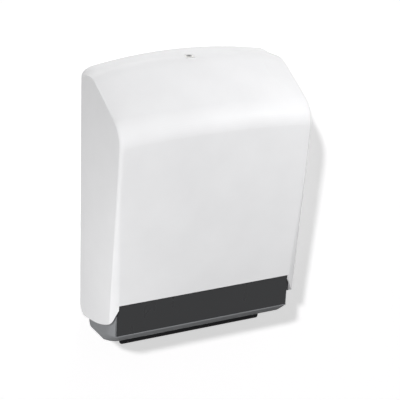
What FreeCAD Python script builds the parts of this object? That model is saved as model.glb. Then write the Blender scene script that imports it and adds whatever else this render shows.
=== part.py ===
import FreeCAD, Part
import math
import os

# Wall-mounted dispenser for folded towels: a white cover that hinges at its foot over a
# grey base, with an anthracite front panel, an outlet rim and a key lock in the roof.
# Millimetres. X to the right, +Y into the wall, +Z up. The origin is the centre of the
# four wall-screw holes on the back face, so the wall is the plane y = 0.
# Heights, named *_H, are measured from the cover's lower front edge, because the shapes
# hang together there; up() turns them into Z. Depths are measured from the wall.

V = FreeCAD.Vector

# ---- wall screws ----
HOLE_SPACING_X = 190.0
HOLE_SPACING_Z = 200.0
WALL_HOLE_R = 2.75
EDGE_Z = -150.0            # cover's lower front edge

# ---- clearances and working allowances ----
RUN_CLEAR = 0.06           # radial, where a part turns
SEAT_CLEAR = 0.02          # radial, where a part is pressed or driven in
HOLE_GAP = 0.2             # radial, where a screw or peg passes through
OVER = 1.0                 # how far a cutting tool stands past what it cuts
SINK = 0.5                 # how far a piece reaches into what it is joined to
REACH = 400.0              # longer than anything, for cutting tools

# ---- cover ----
COVER_WIDTH = 290.0
COVER_WALL = 2.5
COVER_BACK_GAP = 1.0       # cover's back edge to the wall
ROOF_H = 320.5             # roof at the wall, on the centre line
CROWN = 14.5               # how much lower the roof is at the sides
BEND_DEPTH = 40.0          # from the wall to where the roof starts to slope
BEND_DROP = 3.0
BEND_R = 45.0
SLOPE_FALL = 66.5          # from ROOF_H to where slope and front meet at the sides
CREASE_CROWN = 5.0
CREASE_R = 25.0
FRONT_DEPTH = 106.9        # front face at its lower edge
FRONT_LEAN = 0.0926        # how far the front comes forward per mm of height
SIDE_ROUND = 12.0
LOBE_WIDTH = 11.5          # from the flat front's side edge to the cover's side
LOBE_BACK_H = -54.2        # where the lobes' underside would meet the back edge
LOBE_BACK_R = 15.0
LOBE_MID_INSET = 35.0      # from the front's lower edge back to the underside's bend
LOBE_MID_H = -41.1
LOBE_MID_R = 190.0
LOBE_TIP_INSET = 5.3       # from the front's lower edge back to the lobe's tip
LOBE_TIP_H = -27.3
LOBE_TIP_R = 10.0
LOBE_MARGIN = 0.3          # trimming tool stands this far off the back face
LOBE_FRONT_MARGIN = 1.0    # and off the front face, which sets where the tip starts to curve
RIB_X = 70.0
RIB_THICK = 1.6
RIB_HEIGHT = 4.0
RIB_PLATE_GAP = 8.0
RIB_BASE_GAP = 6.0

# ---- hinge ----
HINGE_DEPTH = 17.0
HINGE_H = -37.0
PIN_R = 2.5
PIN_SEAT = 10.0            # length of pin held in the base
PIN_SEAT_R = 8.0
PIN_TAIL = 1.6             # pin's end past its seat
PIN_TIP_GAP = 1.0          # pin's end to the cover's side wall
BUSH_R = 4.5
BUSH_FLOOR = 0.5           # how far the bush's bore stops short of the side wall
BOSS_R = 7.0
BOSS_LENGTH = 5.0
POCKET_GAP = 1.0           # boss face to the pocket's floor
STOP_R = 12.0
STOP_POCKET_R = 12.8
STOP_BOSS_GAP = 0.8
OPEN_ANGLE = 90.0
STOP_FREE = 1.0            # degrees left between nib and stop at the opening angle
NIB_START = 75.0           # degrees from +Y, towards +Z
NIB_SPAN = 36.0
STOP_SPAN = 36.0
RETAINER_R = 5.5
RETAINER_THICK = 0.8

# ---- wall plate ----
PLATE_SIDE_GAP = 4.0       # plate's edge to the cover's side wall
PLATE_TOP_GAP = 4.0
PLATE_DEPTH = 6.0
PLATE_WEB = 2.5
PLATE_RIM = 3.0
PLATE_FOOT_H = -44.0
PLATE_CORNER_R = 9.0
PLATE_RIB = 2.0
PLATE_RIB_GAP = 0.5        # ribs' back to the wall
WALL_BOSS_R = 9.0
SCREW_BOSS_R = 5.0
SCREW_BOSS_GAP = 0.3

# ---- base ----
BASE_SIDE_GAP = 1.5        # base's cheek to the cover's side wall
BASE_WALL = 2.5
BASE_TOP_H = 8.0
APRON_H = -49.6            # lower edge of the apron
APRON_SETBACK = 5.6        # apron's lower edge behind the cover's front
APRON_LEAN = 0.05
CHIN_RUN = 9.3             # from the apron's lower edge back to the chin
CHIN_H = -62.0
CHIN_R = 20.0
BELLY_H = -65.0
BELLY_R = 30.0
BELLY_MARGIN = 1.0         # flat belly in front of the outlet rim
BELLY_SIDE_R = 4.0
BASE_REAR_DEPTH = 24.5     # rear end of the belly
BASE_REAR_R = 12.0
BASE_REAR_H = -46.0        # underside behind it
BASE_FOOT_R = 3.0
CHEEK_RUN = 16.0           # the cheeks turn in over this depth behind the front
CHEEK_R = 20.0
CHIN_SIDE_R = 28.0         # rounding of the chin's corners, seen from above
CHIN_SIDE_LEAD = 8.5       # how far that rounding starts in front of the apron's lower edge

# ---- apron panel ----
APRON_THICK = 2.2
APRON_EDGE_GAP = 0.3
APRON_FOOT = 1.4           # ledge of the base under the panel
PEG_R = 2.0
PEG_INSET = 28.5           # peg to the panel's side edge
PEG_H = (-36.0, -8.0)
PEG_LENGTH = 5.5
PUSH_NUT_R = 5.0
PUSH_NUT_THICK = 0.8
PUSH_NUT_GAP = 0.05

# ---- outlet ----
OUTLET_DEPTH = 47.0        # middle of the slot to the wall
OUTLET_GAP = 24.0
OUTLET_INSET = 23.0        # slot's end to the towel stack's side
OUTLET_CORNER_R = 6.0
RIM_WALL = 2.0
RIM_RISE = 1.5             # collar's top above the base's floor
RIM_END = 11.5             # flange beyond the slot's end
RIM_FRONT_EDGE = 6.0
RIM_REAR_EDGE = 4.0
RIM_THICK = 2.0
RIM_CORNER_R = 4.0
LIP_H = -81.5
LIP_THICK = 5.5
LIP_CORNER_R = 4.0
LIP_EDGE_R = 2.4
RIM_SCREW_END = 5.7        # screw beyond the slot's end
RIM_SCREW_FRONT = 4.5      # screws inside the slot's front and rear edges
RIM_SCREW_REAR = 1.0
RIM_SCREW_R = 1.5
RIM_SCREW_HEAD_R = 2.8
RIM_SCREW_HEAD_H = 1.5
RIM_SCREW_LENGTH = 4.2
RIM_SCREW_HOLE = 2.4       # depth of the hole in the base's floor
RIM_SLOT = 0.35            # half width of the driver slot
RIM_SLOT_LENGTH = 3.6
RIM_SLOT_DEPTH = 0.6

# ---- towel guides ----
GUIDE_THICK = 2.0
GUIDE_FLANGE = 11.5
GUIDE_SIDE_GAP = 2.0       # flange to the plate's edge
GUIDE_SETBACK = 11.3       # guide's front edge behind the apron's lower edge
GUIDE_TOP_DROP = 16.0      # guide's top below the crease
GUIDE_TOP_R = 30.0
GUIDE_FOOT_H = -44.0
GUIDE_FOOT_R = 8.0
GUIDE_BACK_GAP = 6.0       # web to the base's back wall
GUIDE_TAPER = 14.0
GUIDE_BASE_GAP = 4.0       # flange above the base, and web in front of its back wall
GUIDE_PIN_GAP = 2.0        # web to the pin's seat
GUIDE_LIP = 11.0
GUIDE_LIP_R = 5.0
GUIDE_LIP_TOP = 34.0       # lip's end below the guide's top
GUIDE_LIP_FOOT = 8.0
GUIDE_SCREW_LOW = 13.0     # lower screw above the flange's end
GUIDE_SCREW_HIGH = 38.0    # upper screw below the guide's top

# ---- small screws ----
SCREW_R = 1.75
SCREW_HEAD_R = 3.6
SCREW_HEAD_H = 2.2
SCREW_HEAD_ROUND = 1.1
SCREW_SLOT = 0.45          # half width of the cross recess
SCREW_SLOT_ARM = 2.0
SCREW_SLOT_DEPTH = 1.0
SCREW_POINT_GAP = 0.8      # screw's point to the wall
BASE_SCREW_X = 45.0
BASE_SCREW_INSET = 29.0    # outer screws to the base's side
BASE_SCREW_H = -12.0

# ---- lock ----
LOCK_DEPTH = 33.0
LOCK_SINK = 2.9            # spot face below the roof
FLANGE_R = 7.0
FLANGE_THICK = 1.2
FLANGE_RECESS = 0.8
FLANGE_GAP = 0.15
FLANGE_EDGE_R = 0.5
BARREL_R = 5.5
BARREL_LENGTH = 15.0
PLUG_R = 3.9
PLUG_PROUD = 0.3
PLUG_EDGE_R = 0.3
PLUG_BELOW = 0.6           # plug's shoulder below the barrel
SHAFT_SIDE = 4.6           # square end that carries the cam
LOCK_BOSS_R = 10.0
LOCK_BOSS_H = 7.0
NUT_FLATS = 14.0
NUT_THICK = 3.0
CAM_LENGTH = 24.0
CAM_WIDTH = 10.0
CAM_THICK = 2.0
CAM_TIP_R = 3.0
WASHER_R = 4.2
WASHER_THICK = 0.6
CAM_SCREW_R = 1.4
CAM_SCREW_HEAD_R = 3.0
CAM_SCREW_HEAD_H = 1.8
CAM_SCREW_ROUND = 0.8
CAM_SCREW_LENGTH = 6.0
CAM_SCREW_SLOT = 0.4       # half width of the driver slot
CAM_SCREW_SLOT_DEPTH = 0.9
CAM_SCREW_HOLE_END = 0.3
KEYWAY_LENGTH = 5.4
KEYWAY_WIDTH = 1.5
KEYWAY_CROSS = 3.2
KEYWAY_DEPTH = 5.0

# ---- strike ----
STRIKE_THICK = 2.0
STRIKE_INNER_X = 12.0
STRIKE_ARM = 10.0
STRIKE_FOOT = 34.0
STRIKE_FOOT_H = 18.0
STRIKE_FOOT_R = 3.0
STRIKE_LIP_R = 0.6
STRIKE_SCREW_INSET = 7.5
STRIKE_SCREW_DROP = 9.0
STRIKE_PLAY = 1.0          # cam's edge to the strike's lip
STRIKE_UNDER = 0.8         # cam's underside to the strike's arm
STRIKE_ABOVE = 1.0         # strike's lip above the cam

# ---- rubber pads ----
PAD_GAP = 0.3
PAD_LENGTH = 18.0
PAD_BACK = 1.0
PAD_FRONT = 2.0
PAD_EDGE_R = 1.0
PAD_LOW_H = 60.0
PAD_TOP_DROP = 29.0        # upper pad's foot below the crease

# ---- worked out from these ----
HALF = COVER_WIDTH / 2
INNER_HALF = HALF - COVER_WALL
PANEL_HALF = HALF - LOBE_WIDTH
PLATE_HALF = INNER_HALF - PLATE_SIDE_GAP
BASE_HALF = INNER_HALF - BASE_SIDE_GAP
STACK_HALF = PLATE_HALF - GUIDE_SIDE_GAP - GUIDE_FLANGE - GUIDE_THICK
CREASE_H = ROOF_H - SLOPE_FALL
BOSS_FACE = INNER_HALF - BOSS_LENGTH
POCKET_FACE = BOSS_FACE - POCKET_GAP
PIN_SEAT_END = POCKET_FACE - PIN_SEAT
APRON_DEPTH = FRONT_DEPTH - APRON_SETBACK
GUIDE_DEPTH = APRON_DEPTH - GUIDE_SETBACK
GUIDE_TOP_H = CREASE_H - GUIDE_TOP_DROP
FLANGE_FOOT_H = BASE_TOP_H + GUIDE_BASE_GAP
OUTLET_HALF = STACK_HALF - OUTLET_INSET
OUTLET_FRONT = OUTLET_DEPTH + OUTLET_GAP / 2
OUTLET_REAR = OUTLET_DEPTH - OUTLET_GAP / 2
RIM_HALF = OUTLET_HALF + RIM_END
RIM_FRONT = OUTLET_FRONT + RIM_FRONT_EDGE
RIM_REAR = OUTLET_REAR - RIM_REAR_EDGE
BELLY_FLAT_DEPTH = RIM_FRONT + BELLY_MARGIN
LOCK_FACE_H = ROOF_H - LOCK_SINK


def up(height):
    return EDGE_Z + height


HINGE_Y = -HINGE_DEPTH
HINGE_Z = up(HINGE_H)


# ---------------------------------------------------------------- helpers
def box(x0, x1, y0, y1, z0, z1):
    return Part.makeBox(x1 - x0, y1 - y0, z1 - z0, V(x0, y0, z0))


def rod(radius, start, end):
    axis = end - start
    return Part.makeCylinder(radius, axis.Length, start, axis)


def ring(outer, inner, start, end):
    return rod(outer, start, end).cut(rod(inner, start, end))


def both_sides(shape):
    return shape.mirror(V(0, 0, 0), V(1, 0, 0))


def joined(shapes):
    solid = shapes[0]
    for shape in shapes[1:]:
        solid = solid.fuse(shape)
    return solid.removeSplitter()


def in_yz(x):
    return lambda u, v: V(x, u, v)


def in_xz(y):
    return lambda u, v: V(u, y, v)


def in_xy(z):
    return lambda u, v: V(u, v, z)


def rounded_wire(corners, place):
    """Closed wire through corners (u, v, radius), each rounded by a tangent arc."""
    stations = []
    for index, (u, v, radius) in enumerate(corners):
        corner = V(u, v, 0)
        before = V(*corners[index - 1][:2], 0) - corner
        after = V(*corners[(index + 1) % len(corners)][:2], 0) - corner
        before.normalize()
        after.normalize()
        half = before.getAngle(after) / 2
        if radius <= 0 or abs(half - math.pi / 2) < 1e-6:
            stations.append((corner, None, corner))
            continue
        reach = radius / math.tan(half)
        middle = before + after
        middle.normalize()
        crest = corner + middle * (radius / math.sin(half) - radius)
        stations.append((corner + before * reach, crest, corner + after * reach))
    edges = []
    for index, (start, crest, end) in enumerate(stations):
        if crest is not None:
            points = [place(p.x, p.y) for p in (start, crest, end)]
            edges.append(Part.Arc(*points).toShape())
        following = stations[(index + 1) % len(stations)][0]
        if (following - end).Length > 1e-6:
            line = Part.LineSegment(place(end.x, end.y), place(following.x, following.y))
            edges.append(line.toShape())
    return Part.Wire(edges)


def prism(corners, place, direction):
    """Solid swept along direction from a rounded outline."""
    return Part.Face(rounded_wire(corners, place)).extrude(direction)


def across(corners, x0, x1):
    return prism(corners, in_yz(x0), V(x1 - x0, 0, 0))


def rectangle(u0, u1, v0, v1, radius=0.0):
    return [(u0, v0, radius), (u1, v0, radius), (u1, v1, radius), (u0, v1, radius)]


def raised(corners):
    """Side outline with its heights turned into Z."""
    return [(y, up(height), radius) for y, height, radius in corners]


def crossing(p, d, q, e):
    """Where the line through p along d meets the line through q along e."""
    scale = ((q[0] - p[0]) * e[1] - (q[1] - p[1]) * e[0]) / (d[0] * e[1] - d[1] * e[0])
    return (p[0] + d[0] * scale, p[1] + d[1] * scale)


def inset_outline(corners, insets):
    """Outline with each side moved inward; side i runs from corner i to corner i + 1."""
    count = len(corners)
    area = sum(corners[i - 1][0] * corners[i][1] - corners[i][0] * corners[i - 1][1]
               for i in range(count))
    turn = 1 if area > 0 else -1
    sides = []
    for index, inset in enumerate(insets):
        u0, v0, _ = corners[index]
        u1, v1, _ = corners[(index + 1) % count]
        length = math.hypot(u1 - u0, v1 - v0)
        along = ((u1 - u0) / length, (v1 - v0) / length)
        shifted = (u0 - along[1] * inset * turn, v0 + along[0] * inset * turn)
        sides.append((shifted, along))
    result = []
    for index in range(count):
        (p, d), (q, e) = sides[index - 1], sides[index]
        bulges = (d[0] * e[1] - d[1] * e[0]) * turn > 0
        radius = corners[index][2]
        if radius > 0:
            change = max(insets[index - 1], insets[index])
            radius = max(radius - change, 0.2) if bulges else radius + change
        result.append(crossing(p, d, q, e) + (radius,))
    return result


def rounded_edges(solid, radius, wanted):
    """Solid with the edges that a test picks rounded."""
    return solid.makeFillet(radius, [edge for edge in solid.Edges if wanted(edge.BoundBox)])


# ---------------------------------------------------------------- cover
def front_y(height):
    """Outer face of the cover's front at a height."""
    return -(FRONT_DEPTH + FRONT_LEAN * height)


def cover_section(x, inset, back, foot):
    """Side outline of the cover at x, moved inward by inset on roof and front."""
    share = (x / HALF) ** 2
    roof = ROOF_H - CROWN * share
    crease = CREASE_H + CREASE_CROWN * (1 - share)
    corners = [
        (back, roof + BEND_DROP * back / BEND_DEPTH, 0),
        (-BEND_DEPTH, roof - BEND_DROP, BEND_R),
        (front_y(crease), crease, CREASE_R),
        (front_y(foot), foot, 0),
        (back, foot, 0),
    ]
    return raised(inset_outline(corners, [inset, inset, inset, 0, 0]))


def cover_body(inset, back, foot):
    """Solid inside the cover's outer skin, or inside its walls if inset."""
    half = HALF - inset
    stations = [half * step / 3 for step in range(-3, 4)]
    wires = [rounded_wire(cover_section(x, inset, back, foot), in_yz(x)) for x in stations]
    body = Part.makeLoft(wires, True, False)

    def along_side(spot):
        on_side = min(abs(spot.XMin - half), abs(spot.XMax + half)) < 0.01
        on_end = spot.YMin > back - 0.01 or spot.ZMax < up(foot) + 0.01
        return on_side and spot.XLength < 0.01 and not on_end

    return rounded_edges(body, SIDE_ROUND - inset, along_side)


def lobe_trim():
    """Everything below the side lobes' lower outline."""
    back = LOBE_MARGIN - COVER_BACK_GAP
    behind = back + LOBE_BACK_R
    before = front_y(0) - LOBE_BACK_R
    below = 2 * LOBE_BACK_H
    outline = [
        (behind, 0, 0),
        (back, 0, 0),
        (back, LOBE_BACK_H, LOBE_BACK_R),
        (front_y(0) + LOBE_MID_INSET, LOBE_MID_H, LOBE_MID_R),
        (front_y(0) + LOBE_TIP_INSET, LOBE_TIP_H, LOBE_TIP_R),
        (front_y(0) - LOBE_FRONT_MARGIN, 0, 0),
        (before, 0, 0),
        (before, below, 0),
        (behind, below, 0),
    ]
    return across(raised(outline), -HALF - OVER, HALF + OVER)


def sector(inner, outer, start, span, x0, x1):
    """Piece of a ring about the hinge axis, angles in degrees from +Y towards +Z."""
    def spot(radius, angle):
        turn = math.radians(angle)
        return V(x0, HINGE_Y + radius * math.cos(turn), HINGE_Z + radius * math.sin(turn))

    end = start + span
    middle = start + span / 2
    edges = [
        Part.Arc(spot(outer, start), spot(outer, middle), spot(outer, end)).toShape(),
        Part.LineSegment(spot(outer, end), spot(inner, end)).toShape(),
        Part.Arc(spot(inner, end), spot(inner, middle), spot(inner, start)).toShape(),
        Part.LineSegment(spot(inner, start), spot(outer, start)).toShape(),
    ]
    return Part.Face(Part.Wire(edges)).extrude(V(x1 - x0, 0, 0))


def hinge_point(x):
    return V(x, HINGE_Y, HINGE_Z)


def cover_boss():
    """Blind boss on the right lobe, with the nib that stops the cover when open."""
    root = INNER_HALF + COVER_WALL / 2
    boss = rod(BOSS_R, hinge_point(BOSS_FACE), hinge_point(root))
    nib = sector(BOSS_R - SINK, STOP_R, NIB_START, NIB_SPAN, BOSS_FACE, root)
    return boss.fuse(nib)


def bush_bore():
    return rod(BUSH_R, hinge_point(BOSS_FACE - OVER), hinge_point(INNER_HALF - BUSH_FLOOR))


def cover_rib(x):
    """Stiffening rib that follows the inside of the roof and front."""
    outer = cover_section(x, COVER_WALL - SINK, 0, 0)
    inner = cover_section(x, COVER_WALL + RIB_HEIGHT, OVER, -OVER)
    x0 = x - RIB_THICK / 2
    x1 = x + RIB_THICK / 2
    band = across(outer, x0, x1).cut(across(inner, x0 - OVER, x1 + OVER))
    kept = box(x0, x1, -REACH, -PLATE_DEPTH - RIB_PLATE_GAP,
               up(BASE_TOP_H + RIB_BASE_GAP), REACH)
    return band.common(kept)


def lock_point(z):
    return V(0, -LOCK_DEPTH, z)


def cover_shell():
    face = up(LOCK_FACE_H)
    below = 2 * LOBE_BACK_H
    outer = cover_body(0, -COVER_BACK_GAP, LOBE_BACK_H - OVER)
    inner = cover_body(COVER_WALL, COVER_WALL, below)
    lock_boss = rod(LOCK_BOSS_R, lock_point(face - LOCK_BOSS_H), lock_point(REACH))
    shell = joined([outer.cut(inner), lock_boss.common(outer), cover_rib(-RIB_X),
                    cover_rib(RIB_X), cover_boss(), both_sides(cover_boss())])
    shell = shell.cut(lobe_trim())
    shell = shell.cut(box(-PANEL_HALF, PANEL_HALF, -REACH, OVER, up(below), up(0)))
    recess = rod(FLANGE_R + FLANGE_GAP, lock_point(face - FLANGE_RECESS), lock_point(REACH))
    lock_hole = rod(BARREL_R, lock_point(face - LOCK_BOSS_H - OVER), lock_point(REACH))
    for tool in (bush_bore(), both_sides(bush_bore()), recess, lock_hole):
        shell = shell.cut(tool)
    return shell.removeSplitter()


# ---------------------------------------------------------------- hinge hardware
def hinge_bush():
    return ring(BUSH_R - SEAT_CLEAR, PIN_R + RUN_CLEAR,
                hinge_point(BOSS_FACE), hinge_point(INNER_HALF - BUSH_FLOOR))


def hinge_pin():
    return rod(PIN_R, hinge_point(PIN_SEAT_END - PIN_TAIL), hinge_point(INNER_HALF - PIN_TIP_GAP))


def pin_retainer():
    return ring(RETAINER_R, PIN_R + SEAT_CLEAR,
                hinge_point(PIN_SEAT_END - RETAINER_THICK), hinge_point(PIN_SEAT_END))


# ---------------------------------------------------------------- wall plate
def plate_outline(inset, y0, y1):
    """Back plate's shape, with its crowned top, between two depths."""
    half = PLATE_HALF - inset
    middle_top = ROOF_H - COVER_WALL - PLATE_TOP_GAP - inset
    side_top = up(middle_top - CROWN * (half / HALF) ** 2)
    foot = up(PLATE_FOOT_H + inset)
    corners = [V(-half, y0, foot), V(half, y0, foot), V(half, y0, side_top),
               V(-half, y0, side_top)]
    edges = [
        Part.LineSegment(corners[0], corners[1]).toShape(),
        Part.LineSegment(corners[1], corners[2]).toShape(),
        Part.Arc(corners[2], V(0, y0, up(middle_top)), corners[3]).toShape(),
        Part.LineSegment(corners[3], corners[0]).toShape(),
    ]
    plate = Part.Face(Part.Wire(edges)).extrude(V(0, y1 - y0, 0))
    return rounded_edges(plate, PLATE_CORNER_R - inset / 2,
                         lambda spot: spot.XLength < 0.01 and spot.ZLength < 0.01)


def wall_hole_places():
    return [(side * HOLE_SPACING_X / 2, row * HOLE_SPACING_Z / 2)
            for side in (-1, 1) for row in (-1, 1)]


def guide_screw_places():
    x = STACK_HALF + GUIDE_THICK + GUIDE_FLANGE / 2
    heights = (FLANGE_FOOT_H + GUIDE_SCREW_LOW, GUIDE_TOP_H - GUIDE_SCREW_HIGH)
    return [(side * x, up(height)) for side in (-1, 1) for height in heights]


def base_screw_places():
    outer = BASE_HALF - BASE_SCREW_INSET
    return [(side * x, up(BASE_SCREW_H)) for side in (-1, 1) for x in (BASE_SCREW_X, outer)]


def strike_screw_places():
    z = strike_arm_z() - STRIKE_SCREW_DROP
    first = STRIKE_INNER_X + STRIKE_SCREW_INSET
    last = STRIKE_INNER_X + STRIKE_FOOT - STRIKE_SCREW_INSET
    return [(first, z), (last, z)]


def wall_plate():
    block = plate_outline(0, -PLATE_DEPTH, 0)
    plate = block.cut(plate_outline(PLATE_RIM, -PLATE_DEPTH + PLATE_WEB, OVER))
    web = -PLATE_DEPTH + PLATE_WEB - SINK
    half_rib = PLATE_RIB / 2
    extras = []
    for x in (-HOLE_SPACING_X / 4, HOLE_SPACING_X / 4):
        extras.append(box(x - half_rib, x + half_rib, web, -PLATE_RIB_GAP,
                          up(PLATE_FOOT_H) + OVER, up(CREASE_H)))
    for z in (-HOLE_SPACING_Z / 2, 0, HOLE_SPACING_Z / 2):
        extras.append(box(OVER - PLATE_HALF, PLATE_HALF - OVER, web, -PLATE_RIB_GAP,
                          z - half_rib, z + half_rib))
    for x, z in wall_hole_places():
        extras.append(rod(WALL_BOSS_R, V(x, web, z), V(x, 0, z)))
    screws = guide_screw_places() + base_screw_places() + strike_screw_places()
    for x, z in screws:
        extras.append(rod(SCREW_BOSS_R, V(x, web, z), V(x, -SCREW_BOSS_GAP, z)))
    plate = joined([plate] + [extra.common(block) for extra in extras])
    for x, z in wall_hole_places():
        plate = plate.cut(rod(WALL_HOLE_R, V(x, -PLATE_DEPTH - OVER, z), V(x, OVER, z)))
    for x, z in screws:
        plate = plate.cut(rod(SCREW_R, V(x, -PLATE_DEPTH - OVER, z), V(x, -PLATE_RIB_GAP, z)))
    return plate


def pan_screw(x, z, seat_y):
    """Screw with a low domed head, driven towards the wall from seat_y."""
    top = seat_y - SCREW_HEAD_H
    shank = rod(SCREW_R - SEAT_CLEAR, V(x, seat_y, z), V(x, -SCREW_POINT_GAP, z))
    head = rod(SCREW_HEAD_R, V(x, top, z), V(x, seat_y, z))
    head = rounded_edges(head, SCREW_HEAD_ROUND,
                         lambda spot: spot.YMax < top + 0.01)
    arm = SCREW_SLOT_ARM
    slot = SCREW_SLOT
    low = top - OVER
    high = top + SCREW_SLOT_DEPTH
    cross = box(x - arm, x + arm, low, high, z - slot, z + slot)
    cross = cross.fuse(box(x - slot, x + slot, low, high, z - arm, z + arm))
    return head.fuse(shank).cut(cross)


def screw_group(places, seat_y):
    return Part.makeCompound([pan_screw(x, z, seat_y) for x, z in places])


# ---------------------------------------------------------------- base
def apron_y(height):
    """Outer face of the apron at a height."""
    return -(APRON_DEPTH + APRON_LEAN * (height - APRON_H))


def base_outline(top):
    return [
        (-PLATE_DEPTH, top, 0),
        (apron_y(top), top, 0),
        (apron_y(APRON_H), APRON_H, 0),
        (apron_y(APRON_H) + CHIN_RUN, CHIN_H, CHIN_R),
        (-BELLY_FLAT_DEPTH, BELLY_H, BELLY_R),
        (-BASE_REAR_DEPTH, BELLY_H, BASE_REAR_R),
        (-BASE_REAR_DEPTH, BASE_REAR_H, BASE_FOOT_R),
        (-PLATE_DEPTH, BASE_REAR_H, 0),
    ]


def chin_corners(half, inset, low, top):
    """Room for the base: rounded corners that lean back under the apron, and free above it."""
    front = apron_y(APRON_H)
    lead = front - CHIN_SIDE_LEAD
    lean = (front + CHIN_RUN - lead) / (APRON_H - CHIN_H)
    lead += inset * math.hypot(1, lean)
    fall = APRON_H - low
    plan = rectangle(-half, half, lead, HALF, CHIN_SIDE_R - inset)
    under = prism(plan, in_xy(up(APRON_H)), V(0, lean * fall, -fall))
    above = box(-half, half, -REACH, HALF, up(APRON_H), up(top))
    return under.fuse(above)


def base_body(side_inset, insets, top):
    """Base between its cheeks, which turn in towards the front, with its round belly."""
    half = BASE_HALF - side_inset
    corners = inset_outline(base_outline(top), insets)
    block = across(raised(corners), -half, half)
    front = min(y for y, _, _ in corners)
    low = min(height for _, height, _ in corners)
    nose = PANEL_HALF - side_inset
    cheek = front + CHEEK_RUN
    plan = [(-half, OVER, 0), (-half, cheek, CHEEK_R), (-nose, front, 0),
            (nose, front, 0), (half, cheek, CHEEK_R), (half, OVER, 0)]
    belly_r = BELLY_SIDE_R - side_inset / 2
    view = [(-half, up(low), belly_r), (half, up(low), belly_r),
            (half, up(top) + OVER, 0), (-half, up(top) + OVER, 0)]
    block = block.common(prism(plan, in_xy(up(low) - OVER), V(0, 0, top - low + 2 * OVER)))
    block = block.common(prism(view, in_xz(front - OVER), V(0, 2 * OVER - front, 0)))
    return block.common(chin_corners(half, side_inset, low - OVER, top + OVER))


def apron_slice(depth0, depth1, low, top, half):
    """Slab behind the apron's face, between two depths and two heights."""
    corners = [
        (apron_y(low) + depth0, low, 0),
        (apron_y(low) + depth1, low, 0),
        (apron_y(top) + depth1, top, 0),
        (apron_y(top) + depth0, top, 0),
    ]
    return across(raised(corners), -half, half)


def peg_places():
    return [(side * (PANEL_HALF - PEG_INSET), height) for side in (-1, 1) for height in PEG_H]


def apron_back_y(height):
    return apron_y(height) + APRON_THICK


def outlet_prism(half, front, rear, radius, z0, z1):
    return prism(rectangle(-half, half, -front, -rear, radius), in_xy(z0), V(0, 0, z1 - z0))


def hinge_seat(envelope):
    """What the base adds for the right pin: a pad around the pocket and a seat."""
    pad = rod(STOP_POCKET_R + BASE_WALL, hinge_point(POCKET_FACE - BASE_WALL),
              hinge_point(BASE_HALF))
    seat = rod(PIN_SEAT_R, hinge_point(PIN_SEAT_END), hinge_point(POCKET_FACE))
    return pad.fuse(seat).common(envelope)


def hinge_stop(envelope):
    """Stop in the right pocket that the cover's nib comes to when open."""
    start = NIB_START + NIB_SPAN + OPEN_ANGLE + STOP_FREE
    stop = sector(BOSS_R + STOP_BOSS_GAP, STOP_POCKET_R + SINK, start, STOP_SPAN,
                  POCKET_FACE - SINK, BASE_HALF)
    return stop.common(envelope)


def base_tub():
    wall = BASE_WALL
    envelope = base_body(0, [0] * 8, BASE_TOP_H)
    hollow = base_body(wall, [0, APRON_THICK + wall] + [wall] * 6, BASE_TOP_H + SIDE_ROUND)
    shell = envelope.cut(hollow)
    pocket = rod(STOP_POCKET_R, hinge_point(POCKET_FACE), hinge_point(HALF))
    bore = rod(PIN_R + SEAT_CLEAR, hinge_point(PIN_SEAT_END - OVER), hinge_point(HALF))
    for turn in (lambda shape: shape, both_sides):
        shell = shell.fuse(turn(hinge_seat(envelope)))
        shell = shell.cut(turn(pocket)).fuse(turn(hinge_stop(envelope))).cut(turn(bore))
    low = APRON_H + APRON_FOOT
    tools = [apron_slice(-BASE_WALL, APRON_THICK, low, BASE_TOP_H + OVER, HALF)]
    for x, height in peg_places():
        back = apron_back_y(height)
        tools.append(rod(PEG_R + HOLE_GAP, V(x, back - OVER, up(height)),
                         V(x, back + PEG_LENGTH, up(height))))
    edge = RIM_WALL + HOLE_GAP
    tools.append(outlet_prism(OUTLET_HALF + edge, OUTLET_FRONT + edge, OUTLET_REAR - edge,
                              OUTLET_CORNER_R + edge, up(BELLY_H) - OVER,
                              up(BELLY_H) + wall + OVER))
    for x, y in rim_screw_places():
        tools.append(rod(RIM_SCREW_R, V(x, y, up(BELLY_H) - OVER),
                         V(x, y, up(BELLY_H) + RIM_SCREW_HOLE)))
    for x, z in base_screw_places():
        tools.append(rod(SCREW_R + HOLE_GAP, V(x, -PLATE_DEPTH - wall - OVER, z), V(x, 0, z)))
    for tool in tools:
        shell = shell.cut(tool)
    return shell.removeSplitter()


def apron_panel():
    low = APRON_H + APRON_FOOT + APRON_EDGE_GAP
    panel = apron_slice(0, APRON_THICK, low, BASE_TOP_H, PANEL_HALF)
    for x, height in peg_places():
        back = apron_back_y(height)
        panel = panel.fuse(rod(PEG_R, V(x, back - SINK, up(height)),
                               V(x, back + PEG_LENGTH, up(height))))
    return panel


def apron_push_nuts():
    nuts = []
    for x, height in peg_places():
        seat = apron_back_y(height) + BASE_WALL + APRON_LEAN * PUSH_NUT_R + PUSH_NUT_GAP
        nuts.append(ring(PUSH_NUT_R, PEG_R + SEAT_CLEAR, V(x, seat, up(height)),
                         V(x, seat + PUSH_NUT_THICK, up(height))))
    return Part.makeCompound(nuts)


# ---------------------------------------------------------------- outlet rim
def rim_screw_places():
    x = OUTLET_HALF + RIM_SCREW_END
    depths = (OUTLET_FRONT - RIM_SCREW_FRONT, OUTLET_REAR + RIM_SCREW_REAR)
    return [(side * x, -depth) for side in (-1, 1) for depth in depths]


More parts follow.
